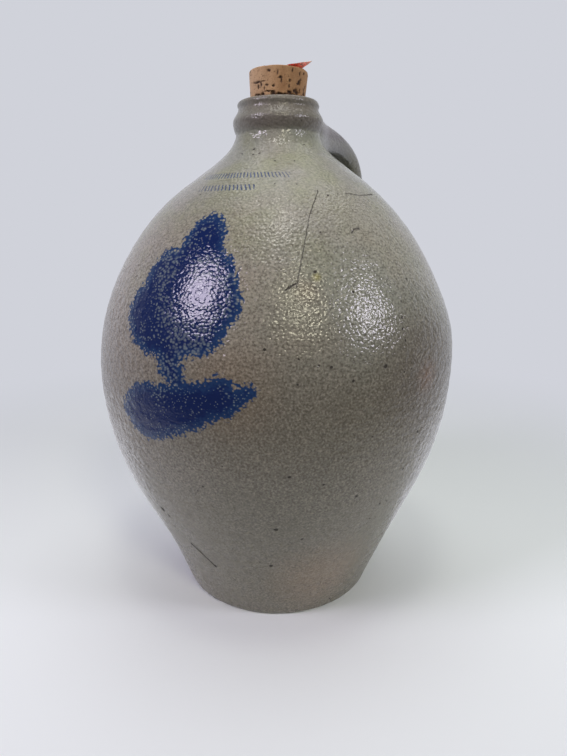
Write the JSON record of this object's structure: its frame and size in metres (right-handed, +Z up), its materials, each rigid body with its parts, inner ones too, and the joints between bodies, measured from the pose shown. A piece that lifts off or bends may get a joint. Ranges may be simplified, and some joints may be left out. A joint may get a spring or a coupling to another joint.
{
  "type": "stoneware jug",
  "caption": "Ovoid salt-glazed stoneware jug with a ringed neck, a strap handle from neck to shoulder, a cobalt tree on its front and a tapered cork that lifts out.",
  "frame": {"origin": "centre of the foot, on the surface that the jug stands on", "axes": "+Z up along the jug's axis, +X towards the handle"},
  "size_m": [0.247, 0.247, 0.3635],
  "materials": {
    "stoneware": "gloss",
    "cork": "matte",
    "red_paper": "matte"
  },
  "bodies": {
    "jug": {"lower_body": "stoneware", "upper_body": "stoneware", "strap_handle": "stoneware"},
    "cork": {"cork_stopper": "cork", "red_tag": "red_paper"}
  },
  "joints": [
    {"name": "cork_pull", "type": "slide", "parent": "jug", "child": "cork", "axis": [0, 0, 1], "range_m": [0, 0.05]}
  ]
}
